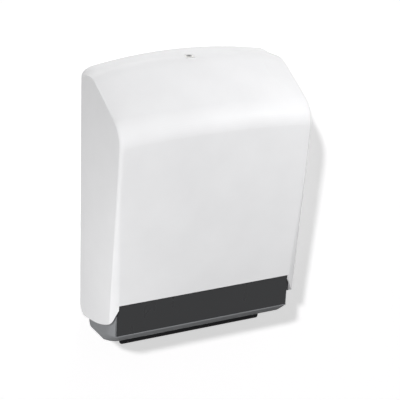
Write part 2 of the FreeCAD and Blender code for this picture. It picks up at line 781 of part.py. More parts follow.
def outlet_rim():
    """Collar in the base's floor, flange under it and the lip along its front."""
    seat = up(BELLY_H)
    low = up(LIP_H)
    flange = outlet_prism(RIM_HALF, RIM_FRONT, RIM_REAR, RIM_CORNER_R, seat - RIM_THICK, seat)
    collar = outlet_prism(OUTLET_HALF + RIM_WALL, OUTLET_FRONT + RIM_WALL,
                          OUTLET_REAR - RIM_WALL, OUTLET_CORNER_R + RIM_WALL,
                          seat - SINK, seat + BASE_WALL + RIM_RISE)
    lip = prism([(-RIM_HALF, low, LIP_CORNER_R), (RIM_HALF, low, LIP_CORNER_R),
                 (RIM_HALF, seat - SINK, 0), (-RIM_HALF, seat - SINK, 0)],
                in_xz(-RIM_FRONT), V(0, LIP_THICK, 0))
    lip = rounded_edges(lip, LIP_EDGE_R,
                        lambda spot: spot.YLength < 0.01 and spot.ZMax < seat - OVER)
    rim = joined([flange, collar, lip])
    rim = rim.cut(outlet_prism(OUTLET_HALF, OUTLET_FRONT, OUTLET_REAR, OUTLET_CORNER_R,
                               seat - RIM_THICK - OVER, seat + BASE_WALL + RIM_RISE + OVER))
    for x, y in rim_screw_places():
        rim = rim.cut(rod(RIM_SCREW_R + HOLE_GAP, V(x, y, seat - RIM_THICK - OVER),
                          V(x, y, seat + OVER)))
        rim = rim.cut(Part.makeCone(RIM_SCREW_HEAD_R, RIM_SCREW_R, RIM_SCREW_HEAD_H,
                                    V(x, y, seat - RIM_THICK), V(0, 0, 1)))
    return rim


def rim_screws():
    low = up(BELLY_H) - RIM_THICK
    shank_r = RIM_SCREW_R - SEAT_CLEAR
    screws = []
    for x, y in rim_screw_places():
        head = Part.makeCone(RIM_SCREW_HEAD_R - SEAT_CLEAR, shank_r, RIM_SCREW_HEAD_H,
                             V(x, y, low), V(0, 0, 1))
        shank = rod(shank_r, V(x, y, low + SINK), V(x, y, low + RIM_SCREW_LENGTH))
        arm = RIM_SLOT_LENGTH / 2
        slot = box(x - arm, x + arm, y - RIM_SLOT, y + RIM_SLOT, low - OVER,
                   low + RIM_SLOT_DEPTH)
        screws.append(head.fuse(shank).cut(slot))
    return Part.makeCompound(screws)


# ---------------------------------------------------------------- towel guides
def towel_guide():
    """Right guide: side web, flange on the wall plate and a lip in front of the stack."""
    x0 = STACK_HALF
    x1 = STACK_HALF + GUIDE_THICK
    back = -PLATE_DEPTH
    web_back = back - BASE_WALL - GUIDE_BACK_GAP
    clear_h = HINGE_H + PIN_SEAT_R + GUIDE_PIN_GAP
    clear_y = HINGE_Y - PIN_SEAT_R - GUIDE_PIN_GAP
    web = across(raised([
        (back, FLANGE_FOOT_H, 0),
        (back - BASE_WALL - GUIDE_BASE_GAP, FLANGE_FOOT_H, 0),
        (web_back, FLANGE_FOOT_H - GUIDE_TAPER, 0),
        (web_back, clear_h, 0),
        (clear_y, clear_h, 0),
        (clear_y, GUIDE_FOOT_H, GUIDE_FOOT_R),
        (-GUIDE_DEPTH, GUIDE_FOOT_H, GUIDE_FOOT_R),
        (-GUIDE_DEPTH, GUIDE_TOP_H, GUIDE_TOP_R),
        (back, GUIDE_TOP_H, 0),
    ]), x0, x1)
    flange = box(x0, x1 + GUIDE_FLANGE, back - GUIDE_THICK, back, up(FLANGE_FOOT_H),
                 up(GUIDE_TOP_H))
    lip = prism(rectangle(x0 - GUIDE_LIP, x1, up(GUIDE_FOOT_H + GUIDE_LIP_FOOT),
                          up(GUIDE_TOP_H - GUIDE_LIP_TOP), GUIDE_LIP_R),
                in_xz(-GUIDE_DEPTH), V(0, GUIDE_THICK, 0))
    guide = joined([web, flange, lip])
    for x, z in guide_screw_places():
        guide = guide.cut(rod(SCREW_R + HOLE_GAP, V(x, back - GUIDE_THICK - OVER, z), V(x, 0, z)))
    return guide


# ---------------------------------------------------------------- lock
def flange_foot_z():
    return up(LOCK_FACE_H) - FLANGE_RECESS


def barrel_bottom():
    return flange_foot_z() - BARREL_LENGTH


def cam_top():
    return barrel_bottom() - PLUG_BELOW


def cam_bottom():
    return cam_top() - CAM_THICK


def strike_arm_z():
    """Top of the strike's arm, just under the cam."""
    return cam_bottom() - STRIKE_UNDER


def lock_barrel():
    foot = flange_foot_z()
    top = foot + FLANGE_THICK
    flange = rod(FLANGE_R, lock_point(foot), lock_point(top))
    flange = rounded_edges(flange, FLANGE_EDGE_R, lambda spot: spot.ZMin > top - 0.01)
    tube = rod(BARREL_R - SEAT_CLEAR, lock_point(barrel_bottom()), lock_point(foot + SINK))
    bore = rod(PLUG_R + RUN_CLEAR, lock_point(barrel_bottom() - OVER), lock_point(top + OVER))
    return flange.fuse(tube).cut(bore).removeSplitter()


def lock_nut():
    top = up(LOCK_FACE_H) - LOCK_BOSS_H
    corner = NUT_FLATS / math.sqrt(3)
    turns = [math.radians(60 * side) for side in range(7)]
    points = [V(corner * math.cos(turn), corner * math.sin(turn) - LOCK_DEPTH, top - NUT_THICK)
              for turn in turns]
    body = Part.Face(Part.makePolygon(points)).extrude(V(0, 0, NUT_THICK))
    return body.cut(rod(BARREL_R, lock_point(top - NUT_THICK - OVER), lock_point(top + OVER)))


def lock_plug():
    """Cylinder that the key turns, with the square end that carries the cam."""
    top = flange_foot_z() + FLANGE_THICK + PLUG_PROUD
    plug = rod(PLUG_R, lock_point(cam_top()), lock_point(top))
    plug = rounded_edges(plug, PLUG_EDGE_R, lambda spot: spot.ZMin > top - 0.01)
    y = -LOCK_DEPTH
    side = SHAFT_SIDE / 2
    shaft = box(-side, side, y - side, y + side, cam_bottom(), cam_top() + SINK)
    arm = KEYWAY_LENGTH / 2
    slot = KEYWAY_WIDTH / 2
    cross = KEYWAY_CROSS / 2
    keyway = box(-arm, arm, y - slot, y + slot, top - KEYWAY_DEPTH, top + OVER)
    keyway = keyway.fuse(box(-slot, slot, y - cross, y + cross, top - KEYWAY_DEPTH, top + OVER))
    screw_end = cam_bottom() - WASHER_THICK + CAM_SCREW_LENGTH + CAM_SCREW_HOLE_END
    screw_hole = rod(CAM_SCREW_R, lock_point(cam_bottom() - OVER), lock_point(screw_end))
    return plug.fuse(shaft).cut(keyway).cut(screw_hole).removeSplitter()


def lock_cam():
    low = cam_bottom()
    half = CAM_WIDTH / 2
    y = -LOCK_DEPTH
    tail = prism(rectangle(-half, half, y, y + CAM_LENGTH, 0), in_xy(low), V(0, 0, CAM_THICK))
    tail = rounded_edges(tail, CAM_TIP_R, lambda spot: spot.YMin > y + CAM_LENGTH - 0.01
                         and spot.XLength < 0.01)
    head = rod(half, lock_point(low), lock_point(low + CAM_THICK))
    side = SHAFT_SIDE / 2 + SEAT_CLEAR
    square = box(-side, side, y - side, y + side, low - OVER, low + CAM_THICK + OVER)
    return joined([tail, head]).cut(square)


def lock_washer():
    top = cam_bottom()
    return ring(WASHER_R, CAM_SCREW_R + HOLE_GAP, lock_point(top - WASHER_THICK), lock_point(top))


def lock_cam_screw():
    seat = cam_bottom() - WASHER_THICK
    low = seat - CAM_SCREW_HEAD_H
    y = -LOCK_DEPTH
    head = rod(CAM_SCREW_HEAD_R, lock_point(low), lock_point(seat))
    head = rounded_edges(head, CAM_SCREW_ROUND, lambda spot: spot.ZMax < low + 0.01)
    shank = rod(CAM_SCREW_R - SEAT_CLEAR, lock_point(seat), lock_point(seat + CAM_SCREW_LENGTH))
    arm = CAM_SCREW_HEAD_R - CAM_SCREW_ROUND
    slot = box(-arm, arm, y - CAM_SCREW_SLOT, y + CAM_SCREW_SLOT, low - OVER,
               low + CAM_SCREW_SLOT_DEPTH)
    return head.fuse(shank).cut(slot)


def latch_strike():
    """Bent steel bracket: foot on the plate, arm under the cam, lip in front of it."""
    top = strike_arm_z()
    back = -PLATE_DEPTH
    x0 = STRIKE_INNER_X
    thick = STRIKE_THICK
    lip_y = -LOCK_DEPTH - CAM_WIDTH / 2 - STRIKE_PLAY
    foot = prism(rectangle(x0, x0 + STRIKE_FOOT, top - STRIKE_FOOT_H, top, STRIKE_FOOT_R),
                 in_xz(back - thick), V(0, thick, 0))
    arm = box(x0, x0 + STRIKE_ARM, lip_y - thick, back - thick + SINK, top - thick, top)
    lip = prism(rectangle(x0, x0 + STRIKE_ARM, top - thick, cam_top() + STRIKE_ABOVE,
                          STRIKE_LIP_R), in_xz(lip_y - thick), V(0, thick, 0))
    strike = joined([foot, arm, lip])
    for x, z in strike_screw_places():
        strike = strike.cut(rod(SCREW_R + HOLE_GAP, V(x, back - thick - OVER, z), V(x, 0, z)))
    return strike


# ---------------------------------------------------------------- rubber pads
def cover_pads():
    """Pads on the plate's side edges that steady the closed cover."""
    x0 = PLATE_HALF
    x1 = INNER_HALF - PAD_GAP
    front = -PLATE_DEPTH + PAD_BACK
    pads = []
    for height in (PAD_LOW_H, CREASE_H - PAD_TOP_DROP):
        pad = prism([(x0, front, 0), (x1, front + PAD_BACK, PAD_EDGE_R),
                     (x1, -PAD_FRONT, PAD_EDGE_R), (x0, -PAD_BACK, 0)],
                    in_xy(up(height)), V(0, 0, PAD_LENGTH))
        pads += [pad, both_sides(pad)]
    return Part.makeCompound(pads)


# ---------------------------------------------------------------- parts
def parts():
    bush = hinge_bush()
    pin = hinge_pin()
    retainer = pin_retainer()
    guide = towel_guide()
    return {
        "wall_plate": wall_plate(),
        "base_tub": base_tub(),
        "base_screws": screw_group(base_screw_places(), -PLATE_DEPTH - BASE_WALL),
        "apron_panel": apron_panel(),
        "apron_push_nuts": apron_push_nuts(),
        "outlet_rim": outlet_rim(),
        "rim_screws": rim_screws(),
        "hinge_pin_right": pin,
        "hinge_pin_left": both_sides(pin),
        "pin_retainers": Part.makeCompound([retainer, both_sides(retainer)]),
        "towel_guide_right": guide,
        "towel_guide_left": both_sides(guide),
        "guide_screws": screw_group(guide_screw_places(), -PLATE_DEPTH - GUIDE_THICK),
        "latch_strike": latch_strike(),
        "strike_screws": screw_group(strike_screw_places(), -PLATE_DEPTH - STRIKE_THICK),
        "cover_pads": cover_pads(),
        "cover_shell": cover_shell(),
        "hinge_bush_right": bush,
        "hinge_bush_left": both_sides(bush),
        "lock_barrel": lock_barrel(),
        "lock_nut": lock_nut(),
        "lock_plug": lock_plug(),
        "lock_cam": lock_cam(),
        "lock_washer": lock_washer(),
        "lock_cam_screw": lock_cam_screw(),
    }


def main():
    os.makedirs("parts", exist_ok=True)
    for name, shape in parts().items():
        shape.exportStep("parts/" + name + ".step")
        spot = shape.BoundBox
        print(f"{name:18s} solids {len(shape.Solids):2d} valid {shape.isValid()} "
              f"volume {shape.Volume:10.1f} "
              f"x {spot.XMin:7.1f} {spot.XMax:7.1f} y {spot.YMin:7.1f} {spot.YMax:7.1f} "
              f"z {spot.ZMin:7.1f} {spot.ZMax:7.1f}")


main()
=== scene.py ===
"""Outer skin, finishes and studio of a wall-mounted dispenser for folded towels.

Metres, in the frame of the packed part: X to the right, +Y into the wall, +Z up, with the
wall at y = 0. Heights are measured from the cover's lower front edge; up() makes them Z.
"""

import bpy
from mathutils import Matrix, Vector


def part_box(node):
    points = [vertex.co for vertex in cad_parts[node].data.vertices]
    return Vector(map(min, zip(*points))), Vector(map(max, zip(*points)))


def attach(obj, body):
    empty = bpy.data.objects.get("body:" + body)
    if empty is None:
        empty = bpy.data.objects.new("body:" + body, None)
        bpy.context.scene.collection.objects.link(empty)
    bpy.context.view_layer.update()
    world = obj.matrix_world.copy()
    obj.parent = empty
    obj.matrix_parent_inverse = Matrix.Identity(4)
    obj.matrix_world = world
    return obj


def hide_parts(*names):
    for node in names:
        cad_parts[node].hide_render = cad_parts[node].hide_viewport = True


bl_info = {
    "name": "Towel Dispenser Finish",
    "version": (1, 0, 0),
    "blender": (4, 5, 0),
    "location": "3D View > Sidebar > Dispenser",
    "description": "Outer skin, procedural finishes and a studio for a towel dispenser",
    "category": "Object",
}

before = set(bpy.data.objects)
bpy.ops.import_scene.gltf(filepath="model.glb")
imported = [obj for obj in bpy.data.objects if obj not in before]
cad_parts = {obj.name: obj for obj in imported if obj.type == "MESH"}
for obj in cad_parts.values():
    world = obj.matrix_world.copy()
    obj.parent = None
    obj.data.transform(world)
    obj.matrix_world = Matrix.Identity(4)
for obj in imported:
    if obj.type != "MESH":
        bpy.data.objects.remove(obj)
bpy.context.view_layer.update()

import math

import bmesh
import bpy
import numpy as np
from mathutils import Matrix, Vector

MM = 0.001

# ---- places that the frame gives ----
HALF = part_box("cover_shell")[1].x
COVER_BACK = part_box("cover_shell")[1].y
BUSH_LOW, BUSH_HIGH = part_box("hinge_bush_right")
HINGE = (BUSH_LOW + BUSH_HIGH) / 2
BARREL_LOW, BARREL_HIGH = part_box("lock_barrel")
LOCK = (BARREL_LOW + BARREL_HIGH) / 2

# ---- the cover's moulding ----
EDGE_Z = -150 * MM           # lower front edge
COVER_WALL = 2.5 * MM
ROOF = 320.5 * MM
CROWN = 14.5 * MM
BEND_DEPTH = 40 * MM
BEND_DROP = 3 * MM
BEND_R = 45 * MM
CREASE = 254 * MM
CREASE_CROWN = 5 * MM
FRONT_DEPTH = 106.9 * MM
FRONT_LEAN = 0.0926
LOBE_EDGE = (-107.9 * MM, 0, 0)
LOBE_TIP = (-101.6 * MM, -27.3 * MM, 10 * MM)
LOBE_BEND = (-71.9 * MM, -41.1 * MM, 190 * MM)
LOBE_BACK = (-0.7 * MM, -54.2 * MM, 15 * MM)
LOBE_REAR = (-0.7 * MM, 0, 0)
RIB_X = 70 * MM
RIB_HALF = 0.8 * MM
RIB_HEIGHT = 4 * MM
RIB_FOOT = 14 * MM
BOSS_R = 7 * MM
BUSH_R = 4.5 * MM
STOP_R = 12 * MM
NIB_START = math.radians(75)
NIB_SPAN = math.radians(36)
LOCK_BOSS_R = 10 * MM
LOCK_BOSS_HEIGHT = 7 * MM
BARREL_R = 5.5 * MM
FLANGE_HOLE_R = 7.15 * MM
LOCK_SEAT_DROP = 1.2 * MM    # barrel's top down to the boss
LOCK_BOSS_RISE = 0.8 * MM    # boss's top above that seat
SUNK = 0.3 * MM              # how far a piece reaches into the skin that carries it

# ---- how finely the skin is divided ----
COVER_STEPS = (9, 8, 27, 14, 60)   # roof, bend, slope, crease, front
MIDDLE_STEPS = 44
ROUND_STEPS = 10
SIDE_STEPS = 16
LOBE_STEPS = 14
LOBE_OUTLINE_STEPS = (6, 16, 8, 24, 12, 24)   # edge, tip, run, bend, run, back corner
LEAN_PASSES = 40             # passes that settle a lobe's height on the leaning front
BLUR_POINTS = 9
BOSS_POINTS = 120
LOCK_BOSS_POINTS = 64
ROOF_POINTS = 24             # on each piece of the roof's outline
HOLE_RINGS = (0.4, 0.75, 1.0)
HOLE_MARGIN = 3.5 * MM
LEAST_REACH = 1 * MM         # how far the side's rounding reaches down the side at least
SOFT_CHANGE = 2 * MM         # how gently that least reach takes over
RUN_SHARE = 0.01             # part of a piece over which its direction is taken
WELD = 0.01 * MM
SKIN_FOLD = 4.0              # degrees at which a fold in the skin shows

# ---- the studio's lamps ----
REAR_DIRECTION = (-0.2, -0.9, -0.5)
REAR_ANGLE = math.radians(40)
LEFT_PLACE = (-0.6, -0.35, -0.2)
RIGHT_PLACE = (0.6, -0.9, 0.55)
SOFTBOX_WIDTH = 0.3
SENSOR_WIDTH = 36.0          # millimetres, of the camera
WALL_GAP = 0.3 * MM          # backdrop behind the part's own wall plane


def up(height):
    """Z of a height above the cover's lower front edge."""
    return EDGE_Z + height


# ---------------------------------------------------------------- outlines
def path_corner(corners, index):
    """Where a corner's rounding starts and ends, and its centre."""
    corner = Vector(corners[index][:2])
    if index in (0, len(corners) - 1):
        return corner, corner, corner
    before = (Vector(corners[index - 1][:2]) - corner).normalized()
    after = (Vector(corners[index + 1][:2]) - corner).normalized()
    half = before.angle(after) / 2
    radius = corners[index][2]
    reach = radius / math.tan(half)
    centre = corner + (before + after).normalized() * (radius / math.sin(half))
    return corner + before * reach, corner + after * reach, centre


def along(corners, piece, share):
    """Point on a path through corners (u, v, radius), at a share of one of its pieces.

    Even pieces are the straight runs and odd pieces the tangent arcs between them.
    """
    if piece % 2 == 0:
        start = path_corner(corners, piece // 2)[1]
        end = path_corner(corners, piece // 2 + 1)[0]
        return start.lerp(end, share)
    start, end, centre = path_corner(corners, (piece + 1) // 2)
    turn = (start - centre).angle(end - centre)
    first = math.sin((1 - share) * turn) / math.sin(turn)
    last = math.sin(share * turn) / math.sin(turn)
    return centre + (start - centre) * first + (end - centre) * last


def run_along(corners, piece, share):
    """Which way a path runs, at a share of one of its pieces."""
    ahead = along(corners, piece, min(share + RUN_SHARE, 1.0))
    behind = along(corners, piece, max(share - RUN_SHARE, 0.0))
    return (ahead - behind).normalized()


def stations(steps):
    """(piece, share) of every point of a path whose pieces have so many steps each."""
    spots = [(piece, step / count) for piece, count in enumerate(steps) for step in range(count)]
    return spots + [(len(steps) - 1, 1.0)]


def gentle(places, knots, blur):
    """Values between knots (place, value), with their corners smoothed over a distance."""
    xs, ys = zip(*knots)
    offsets = np.linspace(-blur, blur, BLUR_POINTS)
    return np.mean([np.interp(places + offset, xs, ys) for offset in offsets], axis=0)


# ---------------------------------------------------------------- meshes
def new_piece(name, bm, body, material, sharp=30.0):
    """Mesh object from bm, smooth but for folds sharper than an angle, riding on a body."""
    limit = math.radians(sharp)
    for face in bm.faces:
        face.smooth = True
    for edge in bm.edges:
        edge.smooth = len(edge.link_faces) != 2 or edge.calc_face_angle() < limit
    mesh = bpy.data.meshes.new(name)
    bm.to_mesh(mesh)
    bm.free()
    mesh.materials.append(material)
    piece = bpy.data.objects.new(name, mesh)
    bpy.context.scene.collection.objects.link(piece)
    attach(piece, body)
    return piece


def soften(piece, width, segments=2, angle=40.0):
    """Rounds a piece's crisp edges, as its mould does."""
    bevel = piece.modifiers.new("Soft edges", "BEVEL")
    bevel.width = width
    bevel.segments = segments
    bevel.limit_method = "ANGLE"
    bevel.angle_limit = math.radians(angle)
    bevel.harden_normals = True


def thicken(piece, thickness):
    """Gives an outer skin its wall, inwards."""
    wall = piece.modifiers.new("Wall", "SOLIDIFY")
    wall.thickness = thickness
    wall.offset = -1
    wall.use_quality_normals = True


def grid_faces(bm, rows, skip=(), flip=False):
    """Faces between rows of vertices, but for the cells to skip."""
    for i in range(len(rows) - 1):
        for j in range(len(rows[i]) - 1):
            if (i, j) not in skip:
                quad = (rows[i][j], rows[i + 1][j], rows[i + 1][j + 1], rows[i][j + 1])
                bm.faces.new(reversed(quad) if flip else quad)


def prism(bm, outline, shift):
    """Closed solid from an outline moved along shift."""
    near = [bm.verts.new(point) for point in outline]
    far = [bm.verts.new(point + shift) for point in outline]
    bm.faces.new(near)
    bm.faces.new(reversed(far))
    for k in range(len(near)):
        n = (k + 1) % len(near)
        bm.faces.new((near[n], near[k], far[k], far[n]))


def tube(bm, inner, outer, shift):
    """Closed solid between two loops of as many points, moved along shift."""
    places = ((inner, Vector()), (outer, Vector()), (outer, shift), (inner, shift))
    loops = [[bm.verts.new(point + offset) for point in loop] for loop, offset in places]
    for index, loop in enumerate(loops):
        following = loops[(index + 1) % 4]
        for k in range(len(loop)):
            n = (k + 1) % len(loop)
            bm.faces.new((loop[k], loop[n], following[n], following[k]))


# ---------------------------------------------------------------- cover
def front_y(height):
    """Depth of the leaning front at a height."""
    return -(FRONT_DEPTH + FRONT_LEAN * height)


def cover_corners(x, crease_radius):
    """Side outline of the cover at x: back edge, bend, crease, lower front edge.

    The crown keeps its fullness further out at the bend than at the wall.
    """
    share = (x / HALF) ** 2
    roof = ROOF - CROWN * share
    bend = ROOF - CROWN * share ** 2
    crease = CREASE + CREASE_CROWN * (1 - share)
    return [
        (COVER_BACK, roof + BEND_DROP * COVER_BACK / BEND_DEPTH, 0),
        (-BEND_DEPTH, bend - BEND_DROP, BEND_R),
        (front_y(crease), crease, crease_radius),
        (front_y(0), 0, 0),
    ]


def side_travel(spots, size):
    """Distance of each station from the back edge, along the cover's side outline."""
    points = [along(cover_corners(HALF, size.crease_radius), *spot) for spot in spots]
    return np.cumsum([0.0] + [(b - a).length for a, b in zip(points, points[1:])])


def side_rounding(spots, travel, size):
    """At each station, how far the side's rounding reaches across and inward, and its fold."""
    crease = travel[spots.index((3, 0.0))]
    foot = travel[-1]
    across = [(0, size.back_across), (BEND_DEPTH, size.slope_across),
              (crease - BEND_DEPTH, size.slope_across), (crease, size.crease_across),
              (foot - size.narrow_height, size.front_across),
              (foot - size.panel_top, size.panel_inset_top), (foot, size.panel_inset_foot)]
    inward = [(0, size.back_inward), (BEND_DEPTH, size.slope_inward),
              (crease - BEND_DEPTH, size.slope_inward), (crease, size.crease_inward),
              (foot - size.narrow_height, size.crease_inward),
              (foot - size.wide_height, size.front_inward), (foot, size.front_inward)]
    fold = [(foot - size.panel_top, 0), (foot, size.panel_fold)]
    blur = size.blend_length
    return gentle(travel, across, blur), gentle(travel, inward, blur), gentle(travel, fold, 0)


def at_least(value, floor):
    """The larger of two lengths, with a soft change from one to the other."""
    return (value + floor + math.hypot(value - floor, SOFT_CHANGE)) / 2


def rounding_arc(start, heading, inward, reach, fold, steps):
    """Points from start round to the side plane; heading lies in the skin, inward in the side."""
    heading = heading.normalized() * math.cos(fold) + inward * math.sin(fold)
    knee = start + heading * ((HALF - start.x) / heading.x)
    end = Vector((HALF, start.y, start.z)) + inward * reach
    past_knee = (end - knee).dot(inward)
    end += inward * (at_least(past_knee, LEAST_REACH) - past_knee)
    weight = math.sqrt(0.5)
    points = []
    for step in range(1, steps + 1):
        t = step / steps
        near, middle, far = (1 - t) ** 2, 2 * t * (1 - t) * weight, t * t
        points.append((start * near + knee * middle + end * far) / (near + middle + far))
    return points


def cover_half(size):
    """Right half of the skin: rows of points from the middle out to the side's back edge."""
    spots = stations(COVER_STEPS)
    side_corners = cover_corners(HALF, size.crease_radius)
    travel = side_travel(spots, size)
    across, inward, fold = side_rounding(spots, travel, size)
    rows = []
    for index, (piece, share) in enumerate(spots):
        edge_x = HALF - across[index]
        row = []
        for column in range(MIDDLE_STEPS + 1):
            x = edge_x * column / MIDDLE_STEPS
            spot = along(cover_corners(x, size.crease_radius), piece, share)
            row.append(Vector((x, spot.x, spot.y)))
        beyond = along(side_corners, piece, share)
        heading = Vector((HALF - edge_x, beyond.x - row[-1].y, beyond.y - row[-1].z))
        run = run_along(side_corners, piece, share)
        if piece == 0:
            run = Vector((-1, 0)).lerp(run, share).normalized()
        row += rounding_arc(row[-1], heading, Vector((0, -run.y, run.x)), inward[index],
                            fold[index], ROUND_STEPS)
        rows.append(row)
    top = rows[0][-1].z
    for index, row in enumerate(rows):
        edge = row[-1]
        back = Vector((HALF, COVER_BACK, top * (1 - travel[index] / travel[-1])))
        row += [edge.lerp(back, step / SIDE_STEPS) for step in range(1, SIDE_STEPS + 1)]
    return rows


def lobe_half(foot_row):
    """The lobe under the lowest row, from the flat front's side edge to the back edge."""
    corners = [LOBE_EDGE, LOBE_TIP, LOBE_BEND, LOBE_BACK, LOBE_REAR]
    outline = [along(corners, *spot) for spot in stations(LOBE_OUTLINE_STEPS)]
    depths = [point.x for point in outline]
    heights = [point.y for point in outline]
    front = foot_row[0].y

    def spot(point, height):
        """Where a column is at a height: the front leans and the back edge is upright."""
        share = (COVER_BACK - point.y) / (COVER_BACK - front)
        return Vector((point.x, point.y - FRONT_LEAN * height * share, height))

    columns = []
    for point in foot_row:
        low = 0.0
        for _ in range(LEAN_PASSES):
            low = float(np.interp(spot(point, low).y, depths, heights))
        columns.append([spot(point, low * step / LOBE_STEPS)
                        for step in range(1, LOBE_STEPS + 1)])
    return [list(row) for row in zip(*columns)]


def roof_height(x, y, size):
    """Height of the roof at a place."""
    corners = cover_corners(x, size.crease_radius)
    points = [along(corners, piece, step / ROOF_POINTS)
              for piece in (2, 1, 0) for step in range(ROOF_POINTS, -1, -1)]
    return float(np.interp(y, [point.x for point in points], [point.y for point in points]))


def lock_hole(bm, rows, size):
    """Ring of faces from the grid to the round hole for the lock. Returns the cells it takes."""
    reach = FLANGE_HOLE_R + HOLE_MARGIN
    middles = [row[len(row) // 2].co for row in rows]
    near_rows = [i for i, middle in enumerate(middles)
                 if abs(middle.y - LOCK.y) < reach and middle.z > LOCK.z]
    near_columns = [j for j, vert in enumerate(rows[near_rows[0]]) if abs(vert.co.x) < reach]
    i0, i1 = near_rows[0], near_rows[-1]
    j0, j1 = near_columns[0], near_columns[-1]
    loop = [rows[i][j0] for i in range(i0, i1)] + [rows[i1][j] for j in range(j0, j1)]
    loop += [rows[i][j1] for i in range(i1, i0, -1)] + [rows[i0][j] for j in range(j1, j0, -1)]
    outer = loop
    for share in HOLE_RINGS:
        inner = []
        for vert in loop:
            offset = Vector((vert.co.x, vert.co.y - LOCK.y))
            spot = offset.lerp(offset.normalized() * FLANGE_HOLE_R, share)
            y = spot.y + LOCK.y
            inner.append(bm.verts.new((spot.x, y, up(roof_height(spot.x, y, size)))))
        for k in range(len(loop)):
            n = (k + 1) % len(loop)
            bm.faces.new((outer[k], outer[n], inner[n], inner[k]))
        outer = inner
    return {(i, j) for i in range(i0, i1) for j in range(j0, j1)}


def cover_skin(size):
    """Outer skin of the cover, open at the back and the foot, with its two lobes."""
    bm = bmesh.new()
    half_rows = cover_half(size)
    lobe = lobe_half(half_rows[-1][MIDDLE_STEPS:])
    rows = []
    for half_row in half_rows:
        points = [Vector((-p.x, p.y, p.z)) for p in reversed(half_row[1:])] + half_row
        rows.append([bm.verts.new((p.x, p.y, up(p.z))) for p in points])
    grid_faces(bm, rows, lock_hole(bm, rows, size))
    outer = ROUND_STEPS + SIDE_STEPS
    for side, edge in ((-1, rows[-1][outer::-1]), (1, rows[-1][-outer - 1:])):
        below = [[bm.verts.new((side * p.x, p.y, up(p.z))) for p in row] for row in lobe]
        grid_faces(bm, [edge] + below, flip=side < 0)
    bmesh.ops.remove_doubles(bm, verts=bm.verts, dist=WELD)
    return bm


def ring_points(centre, radii):
    """Loop of points about an axis along X, with a radius for each."""
    count = len(radii)
    return [centre + Vector((0, radius * math.cos(math.tau * k / count),
                             radius * math.sin(math.tau * k / count)))
            for k, radius in enumerate(radii)]


def hinge_boss(bm, side):
    """Boss that holds the bush, with the nib that stops the cover when it is open."""
    step = math.tau / BOSS_POINTS
    radii = []
    for k in range(BOSS_POINTS):
        off_middle = abs(step * k - NIB_START - NIB_SPAN / 2)
        radii.append(STOP_R if off_middle < (NIB_SPAN - step) / 2 else BOSS_R)
    face = Vector((side * BUSH_LOW.x, HINGE.y, HINGE.z))
    depth = HALF - COVER_WALL + SUNK - BUSH_LOW.x
    tube(bm, ring_points(face, [BUSH_R] * BOSS_POINTS), ring_points(face, radii),
         Vector((side * depth, 0, 0)))


def lock_boss(bm):
    """Tube under the roof that the lock's barrel passes through."""
    seat = BARREL_HIGH.z - LOCK_SEAT_DROP

    def loop(radius):
        angles = [math.tau * k / LOCK_BOSS_POINTS for k in range(LOCK_BOSS_POINTS)]
        return [Vector((radius * math.cos(angle), LOCK.y + radius * math.sin(angle), seat))
                for angle in angles]

    tube(bm, loop(BARREL_R), loop(LOCK_BOSS_R), Vector((0, 0, LOCK_BOSS_RISE - LOCK_BOSS_HEIGHT)))


def cover_rib(bm, x, size):
    """Rib that follows the inside of the roof and the front."""
    corners = cover_corners(x, size.crease_radius)
    outer = []
    inner = []
    for piece, share in stations(COVER_STEPS):
        spot = along(corners, piece, share)
        run = run_along(corners, piece, share)
        inward = Vector((-run.y, run.x))
        if spot.x < -RIB_FOOT and spot.y > RIB_FOOT:
            outer.append(spot + inward * (COVER_WALL - SUNK))
            inner.append(spot + inward * (COVER_WALL + RIB_HEIGHT))
    outline = [Vector((x - RIB_HALF, p.x, up(p.y))) for p in outer + inner[::-1]]
    prism(bm, outline, Vector((2 * RIB_HALF, 0, 0)))


class DISPENSER_OT_cover(bpy.types.Operator):
    """Model the white cover's skin, its ribs and its bosses"""
    bl_idname = "dispenser.cover"
    bl_label = "Cover"

    def execute(self, context):
        size = context.scene.dispenser_cover
        finish = context.scene.dispenser_finish
        gloss = gloss_plastic("Gloss white moulding", finish.cover_colour, finish)
        skin = new_piece("cover_skin", cover_skin(size), "cover", gloss,
                         SKIN_FOLD)
        thicken(skin, COVER_WALL)
        soften(skin, size.edge_softness)
        inside = bmesh.new()
        for side in (-1, 1):
            hinge_boss(inside, side)
            cover_rib(inside, side * RIB_X, size)
        lock_boss(inside)
        fittings = new_piece("cover_ribs_and_bosses", inside, "cover", gloss)
        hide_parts("cover_shell")
        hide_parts("cover_shell")
        return {"FINISHED"}


# ---------------------------------------------------------------- finishes
def node(tree, kind, inputs=None, **settings):
    """Adds a shader node; an input is linked if it is a socket, and set if it is a value."""
    made = tree.nodes.new("ShaderNode" + kind)
    for key, value in settings.items():
        setattr(made, key, value)
    for key, value in (inputs or {}).items():
        if isinstance(value, bpy.types.NodeSocket):
            tree.links.new(value, made.inputs[key])
        else:
            made.inputs[key].default_value = value
    return made


def new_material(name):
    """Empty material with its shader, its node tree and the object's own coordinates."""
    material = bpy.data.materials.new(name)
    material.use_nodes = True
    tree = material.node_tree
    tree.nodes.clear()
    shader = node(tree, "BsdfPrincipled")
    output = node(tree, "OutputMaterial")
    tree.links.new(shader.outputs["BSDF"], output.inputs["Surface"])
    return material, tree, shader, node(tree, "TexCoord").outputs["Object"]


def noise(tree, place, scale, detail=2.0, stretch=(1, 1, 1)):
    """Noise from 0 to 1, so many to the metre."""
    mapped = node(tree, "Mapping", {"Vector": place, "Scale": stretch})
    made = node(tree, "TexNoise", {"Vector": mapped.outputs["Vector"], "Scale": scale,
                                   "Detail": detail})
    return made.outputs["Fac"]


def spread(tree, value, low, high, start=0.3, end=0.7):
    """Value from start to end, spread between low and high."""
    made = node(tree, "MapRange", {"Value": value, "From Min": start, "From Max": end,
                                   "To Min": low, "To Max": high})
    return made.outputs["Result"]


